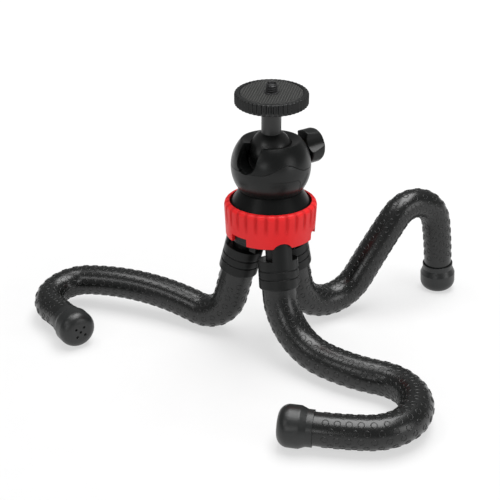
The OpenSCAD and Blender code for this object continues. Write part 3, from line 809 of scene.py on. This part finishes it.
def camera_screw():
    """Quarter-inch stud: a pressed-in base, a cut thread and a tip with a rounded lip and a recess."""
    bottom = STEM_REACH + SPIGOT_H + 0.06
    top = PAD_TOP
    tip = top + STUD_SHOWN
    outside = SCREW_D / 2

    def thread(height):
        def radius(angle):
            phase = (height / THREAD_PITCH - angle / (2 * math.pi)) % 1.0
            cut = max(0.0, 1.0 - abs(phase - 0.5) / THREAD_SHARE)
            taper = min(1.0, max(0.0, (tip - height) / STUD_TAPER))
            return min(outside - THREAD_DEPTH * cut, outside - STUD_TAPER * (1.0 - taper))

        return radius

    shoulder = 0.15
    rings = [(bottom, SCREW_BASE_R), (top - shoulder, SCREW_BASE_R)]
    rings += [(top, SCREW_BASE_R - shoulder), (top, outside)]
    rings += [(height, thread(height)) for height in np.arange(top + 0.02, tip, THREAD_STEP)]
    rings += [(tip - down, radius) for down, radius in STUD_RECESS]
    piece = turned_piece("camera_stud", rings, STUD_SIDES, SCREW_BLACK)
    piece.data.transform(AT_BALL)
    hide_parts("camera_screw")
    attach(piece, "plate")


# Rows of the pad's bumps: distance between rows, pitch in a row, slant and reach
BUMP_ROWS = 1.4
BUMP_PITCH = 1.45
BUMP_ANGLE = 78.0
BUMP_SUNK = 0.02
BUMP_FROM_HOLE = 0.7
BUMP_FROM_EDGE = 0.5
BUMPED_RADIUS = 16.9
PAD_GAP = 0.15
PAD_SIDES = 96


def plate_pad():
    """Rubber pad with staggered rows of low bumps that run across it at a slant."""
    radius = PLATE_D / 2 - PAD_RIM - PAD_GAP
    hole = SCREW_BASE_R + PAD_GAP
    edge = 0.15
    rings = [(0.0, hole), (0.0, radius), (PAD_FLOOR - edge, radius)]
    rings += [(PAD_FLOOR, radius - edge), (PAD_FLOOR, hole)]
    points = ring_points(rings, PAD_SIDES)
    faces = wall_faces(len(rings), PAD_SIDES, True)
    wall = len(points)
    rows = int(BUMPED_RADIUS / BUMP_ROWS)
    per_row = int(BUMPED_RADIUS / BUMP_PITCH) + 1
    for row in range(-rows, rows + 1):
        for k in range(-per_row, per_row + 1):
            x = (k + 0.5 * (row % 2)) * BUMP_PITCH
            y = row * BUMP_ROWS
            if hole + BUMP_FROM_HOLE < math.hypot(x, y) < BUMPED_RADIUS - BUMP_FROM_EDGE:
                points.append((x * MM, y * MM, (PAD_FLOOR - BUMP_SUNK) * MM))
    piece = new_piece("bumped_pad", points, faces, PAD_RUBBER, False)
    mark_seats(piece, wall)
    grown(piece, bump_tree(), {"Bump size": [v * MM for v in BUMP_SIZE], "Finish": PAD_RUBBER})
    place = Matrix.Translation((0, 0, PAD_SEAT * MM))
    piece.data.transform(AT_BALL @ place @ Matrix.Rotation(math.radians(BUMP_ANGLE), 4, "Z"))
    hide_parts("plate_pad")
    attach(piece, "plate")


PLATE_FLUTES = 48
FLUTE_DEPTH = 1.0
FLUTE_STEPS = 12
# Rim of the plate: height, how far its edge is drawn in and the share of the flutes' depth there
PLATE_EDGE = (
    (0.1, 0.75, 0.35),
    (0.6, 0.0, 1.0),
    (PLATE_H - 1.1, 0.0, 1.0),
    (PLATE_H - 0.6, 0.08, 0.9),
    (PLATE_H - 0.22, 0.3, 0.6),
    (PLATE_H - 0.04, 0.65, 0.3),
)
SPIGOT_R = SCREW_D / 2 + 1.16
SPIGOT_H = PLATE_H - PAD_H - SCREW_BASE_H


def camera_plate():
    """Round plate with a finger-fluted edge whose flutes run out over the rounded rim."""
    outside = PLATE_D / 2
    inside = outside - PAD_RIM
    seat = PLATE_H - PAD_H + PAD_PROUD

    def fluted(drop, share):
        def radius(angle):
            wave = 0.5 - 0.5 * math.cos(PLATE_FLUTES * angle)
            return outside - drop - FLUTE_DEPTH * share * wave**0.6

        return radius

    rings = [(SPIGOT_H, SPIGOT_R), (0.0, SPIGOT_R), (0.0, SPIGOT_R + 0.2), (0.0, outside - 1.9)]
    rings += [(0.02, outside - 1.7)]
    rings += [(height, fluted(drop, share)) for height, drop, share in PLATE_EDGE]
    rings += [(PLATE_H, outside - 1.1), (PLATE_H, inside + 0.2), (PLATE_H - 0.06, inside + 0.06)]
    rings += [(PLATE_H - 0.2, inside), (seat, inside), (seat, inside - 0.2)]
    piece = turned_piece("fluted_plate", rings, PLATE_FLUTES * FLUTE_STEPS, PLATE_BLACK)
    piece.data.transform(AT_BALL @ Matrix.Translation((0, 0, STEM_REACH * MM)))
    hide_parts("camera_plate")
    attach(piece, "plate")


# Wall of the drop notch: thickness, height above the ball's middle and steps round its floor
LINING = 1.0
LINING_TOP = 3.9
LINING_STEPS = 24


def notch_lining():
    """Moulded wall of the drop notch inside the housing, from its room to the seat of the ball."""
    start = SEAT_R + 0.1
    bend = [math.pi * (1.0 + k / LINING_STEPS) for k in range(LINING_STEPS + 1)]
    rows = []
    for grow, reach in ((0.0, False), (0.0, True), (LINING, True), (LINING, False)):
        r = NOTCH_R + grow
        outline = [(r * math.cos(a), r * math.sin(a) - NOTCH_FLOOR) for a in bend]
        outline = [(-r, LINING_TOP)] + outline + [(r, LINING_TOP)]
        row = []
        for y, z in outline:
            room = max(0.0, (ROOM_R + 0.1) ** 2 - y * y - (z + HEAD_DROP) ** 2)
            row.append((max(start + 0.05, math.sqrt(room)) if reach else start, y, z))
        rows.append(row)
    count = len(rows[0])
    points = [tuple(v * MM for v in point) for row in rows for point in row]
    faces = []
    for row in range(4):
        first, second = row * count, (row + 1) % 4 * count
        for k in range(count - 1):
            faces.append((first + k, second + k, second + k + 1, first + k + 1))
    faces.append((count, 0, 3 * count, 2 * count))
    faces.append(tuple(row * count + count - 1 for row in range(4)))
    piece = new_piece("notch_lining", points, faces, HEAD_BLACK, False)
    piece.data.transform(BALL_PLACE @ Matrix.Rotation(math.radians(NOTCH_TURN), 4, "Z"))
    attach(piece, "hub")


camera_screw()
camera_plate()
plate_pad()
notch_lining()


FLOOR_REACH = 4.0


def studio_floor():
    """Pale light table that looks white and keeps a light shadow."""
    material, bench = new_finish("studio floor")
    fine = bench.grain(40.0, 2.0)
    tone = bench.tint(fine, (0.27, 0.27, 0.27), (0.29, 0.29, 0.29))
    matte = bench.node("ShaderNodeBsdfDiffuse", None, {"Color": tone})
    far = bench.node("ShaderNodeVectorMath", {"operation": "LENGTH"}, {0: bench.place()}, "Value")
    shine = bench.ramp(far / 1.6, ((0.1, 0.6), (0.8, 0.98)))
    glow = bench.node("ShaderNodeEmission", None, {"Color": shine, "Strength": 1.0})
    both = bench.node("ShaderNodeAddShader", None, {0: matte, 1: glow})
    bench.node("ShaderNodeOutputMaterial", None, {"Surface": both})
    size = FLOOR_REACH
    corners = [(-size, -size, 0), (size, -size, 0), (size, size, 0), (-size, size, 0)]
    floor = new_piece("studio_floor", corners, [(0, 1, 2, 3)], material, False)


def studio_world():
    """White ground behind the object, which lights it only dimly."""
    world = bpy.data.worlds.new("studio")
    bpy.context.scene.world = world
    world.use_nodes = True
    world.node_tree.nodes.clear()
    bench = Bench(world.node_tree)
    seen = bench.node("ShaderNodeLightPath", None, None, "Is Camera Ray")
    strength = 0.25 + seen * 0.75
    glow = bench.node("ShaderNodeBackground", None, {"Color": (1.0, 1.0, 1.0, 1.0), "Strength": strength})
    bench.node("ShaderNodeOutputWorld", None, {"Surface": glow})


def softbox(name, place, aim, width, height, power):
    """A rectangular lamp, in metres and watts."""
    lamp = bpy.data.lights.new(name, "AREA")
    lamp.shape = "RECTANGLE"
    lamp.size = width
    lamp.size_y = height
    lamp.energy = power
    box = bpy.data.objects.new(name, lamp)
    bpy.context.scene.collection.objects.link(box)
    box.location = place
    way = Vector(aim) - Vector(place)
    box.rotation_mode = "QUATERNION"
    box.rotation_quaternion = way.to_track_quat("-Z", "Y")


# Viewpoint from the middle of the collar's underside in millimetres, tilt from straight down in degrees
EYE_FROM_HUB = (-11.4, -535.62, 242.18)
EYE_TILT = 64.625
FOCAL_LENGTH = 75.3


def camera():
    """Viewpoint that was fitted to the ellipses of the collar, plate and dish."""
    lens = bpy.data.cameras.new("camera")
    lens.lens = FOCAL_LENGTH
    lens.sensor_width = 36.0
    lens.clip_start = 0.01
    lens.clip_end = 20.0
    eye = bpy.data.objects.new("camera", lens)
    bpy.context.scene.collection.objects.link(eye)
    eye.location = (HUB + EYE_FROM_HUB) * MM
    eye.rotation_euler = (math.radians(EYE_TILT), 0.0, 0.0)
    bpy.context.scene.camera = eye


HEAD_AIM = (0.0, 0.0, 0.06)

studio_floor()
studio_world()
camera()
softbox("top_box", (0.20, 0.10, 1.15), (0.20, 0.10, 0.0), 0.62, 1.1, 16.0)
softbox("left_top_box", (-0.44, 0.16, 1.15), (-0.44, 0.16, 0.0), 0.2, 0.6, 2.8)
softbox("left_box", (-0.75, -0.63, 0.75), HEAD_AIM, 0.3, 0.26, 1.2)
softbox("front_box", (-0.42, -1.06, 0.40), HEAD_AIM, 0.4, 0.24, 1.4)
softbox("right_box", (0.86, -0.50, 0.34), HEAD_AIM, 0.4, 0.5, 1.9)

bpy.context.scene.view_settings.view_transform = "Standard"
